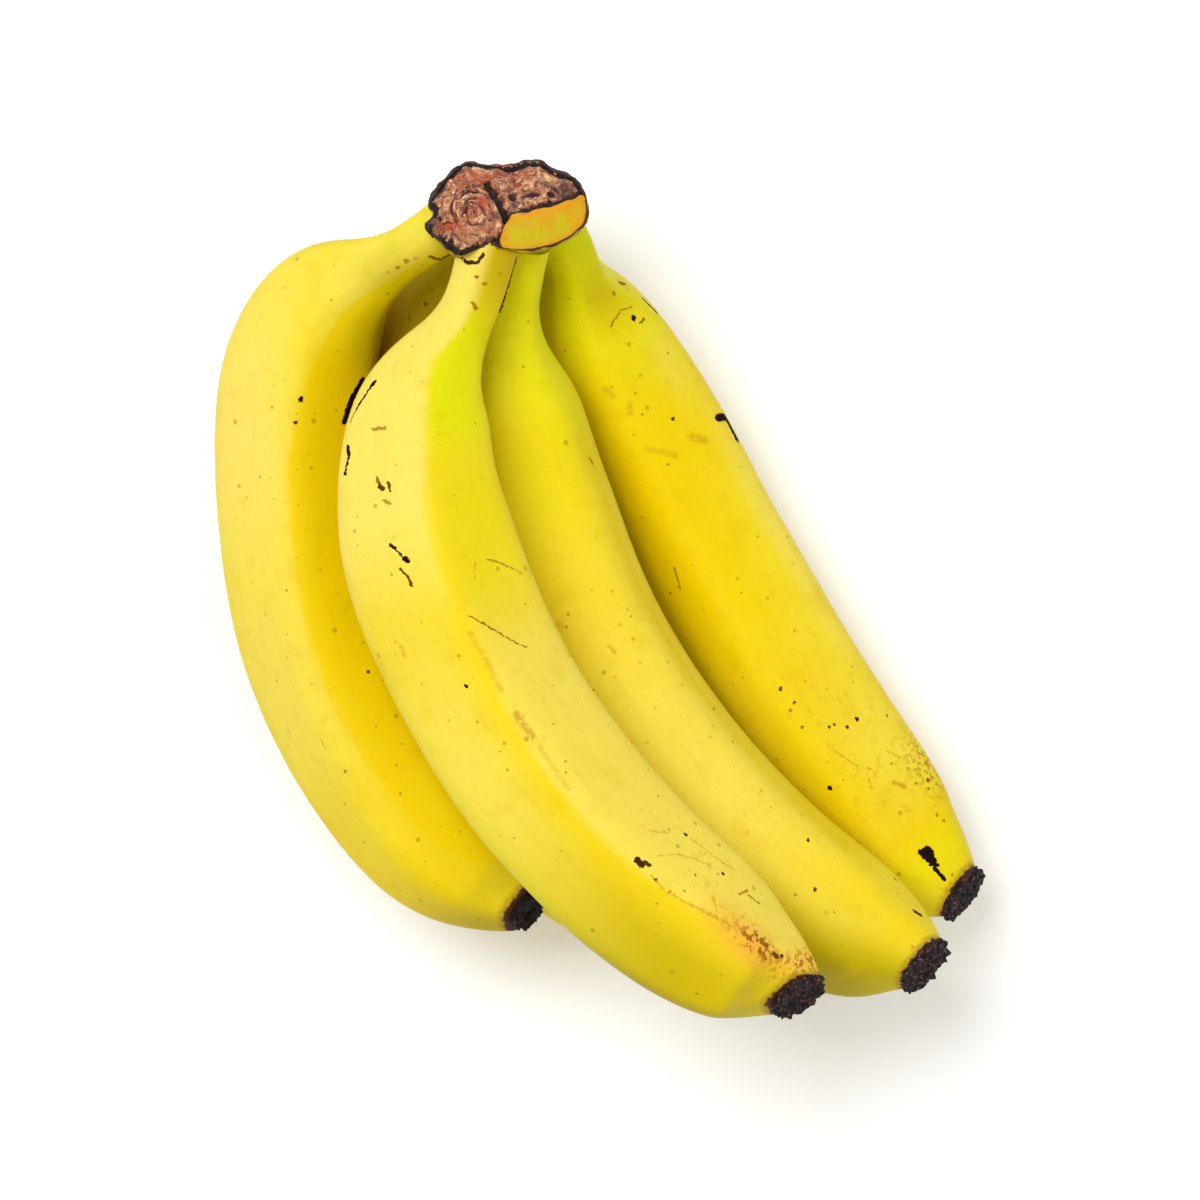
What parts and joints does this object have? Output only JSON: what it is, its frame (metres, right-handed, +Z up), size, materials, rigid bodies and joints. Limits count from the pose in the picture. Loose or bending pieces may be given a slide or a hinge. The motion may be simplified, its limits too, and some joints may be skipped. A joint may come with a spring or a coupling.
{
  "type": "bunch of bananas",
  "caption": "Hand of ripe bananas lying down: curved five-sided fingers joined by short necks to a cut crown, each with a dried flower end.",
  "frame": {"origin": "on the resting surface, below the centre of the bounding box", "axes": "+Z up; +Y from the flower ends towards the crown, along the hand's longest extent; +X across the hand, from the first finger towards the fourth"},
  "size_m": [0.1696, 0.1844, 0.0981],
  "materials": {
    "peel": "satin waxy banana peel",
    "crown": "dry fibrous cut stem",
    "dried_flower": "dry black plant matter"
  },
  "bodies": {
    "root": {"crown": "crown", "banana_1": "peel", "banana_2": "peel", "banana_3": "peel", "banana_4": "peel", "banana_5": "peel", "flower_end_1": "dried_flower", "flower_end_2": "dried_flower", "flower_end_3": "dried_flower", "flower_end_4": "dried_flower", "flower_end_5": "dried_flower"}
  },
  "joints": []
}
